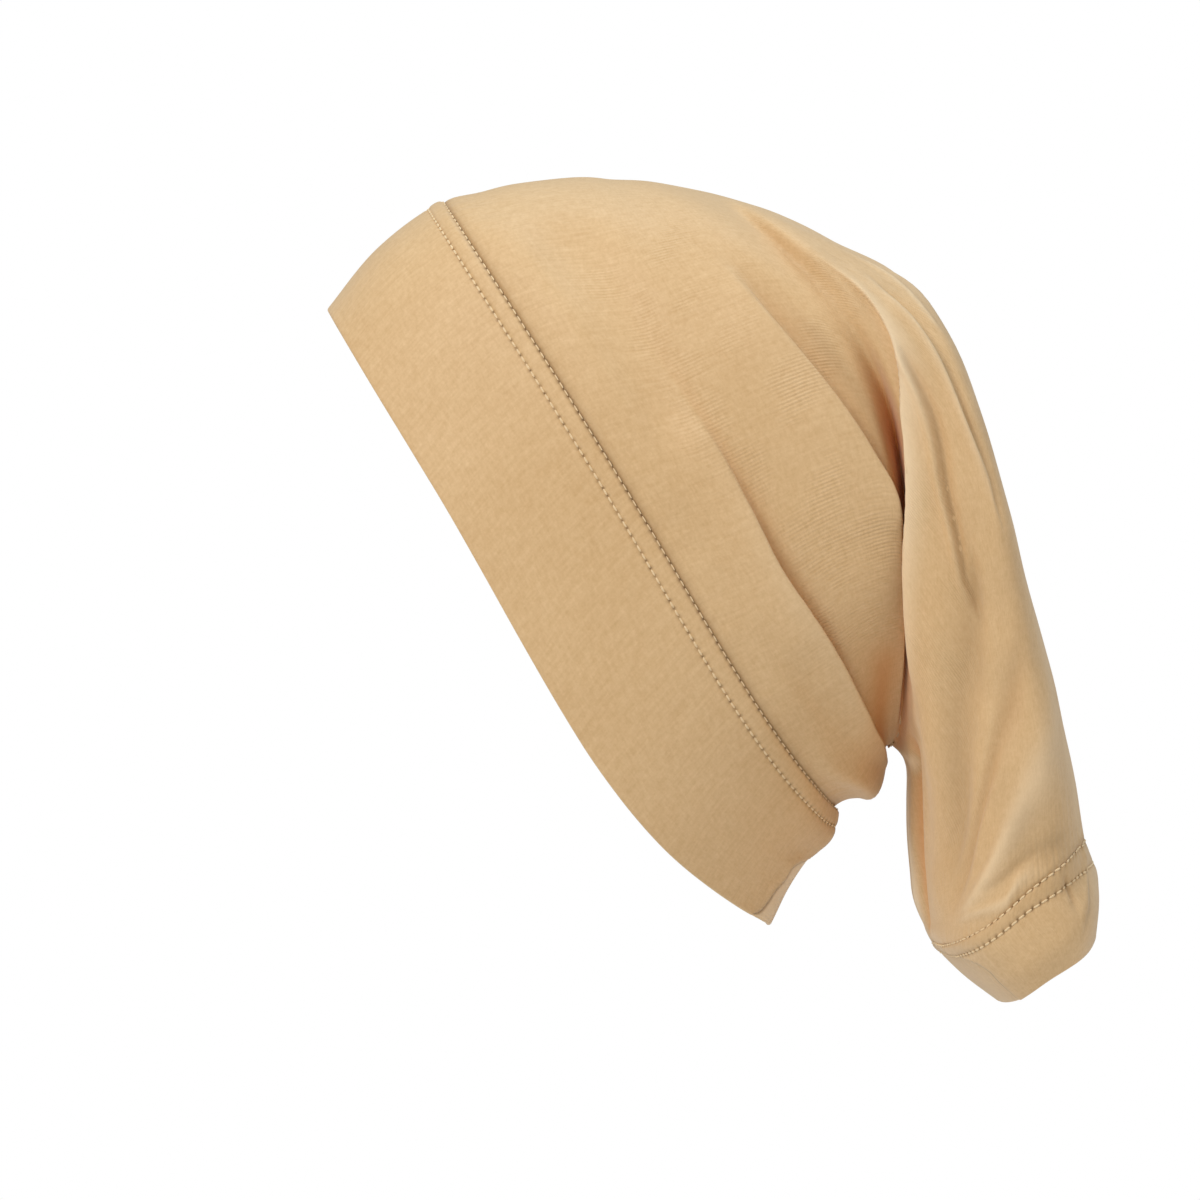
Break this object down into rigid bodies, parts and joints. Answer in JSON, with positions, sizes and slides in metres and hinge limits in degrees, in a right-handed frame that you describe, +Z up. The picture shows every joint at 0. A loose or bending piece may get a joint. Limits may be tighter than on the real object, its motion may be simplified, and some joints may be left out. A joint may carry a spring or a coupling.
{
  "type": "hijab underscarf cap",
  "caption": "Knitted jersey tube cap with a doubled front band and an open tail that hangs behind the head, shaped as it is worn under a scarf.",
  "frame": {"origin": "where the top of the wearer's head touches the inside of the crown", "axes": "+X from the face to the back of the head, +Y from the wearer's left to the wearer's right, +Z up"},
  "size_m": [0.2518, 0.1744, 0.2701],
  "materials": {
    "band_jersey": "doubled khaki cotton jersey, matt with a slight satin sheen",
    "crown_jersey": "khaki cotton jersey, matt with a slight satin sheen"
  },
  "bodies": {
    "root": {"front_band": "band_jersey", "crown_tube": "crown_jersey", "tail_band": "band_jersey"}
  },
  "joints": []
}
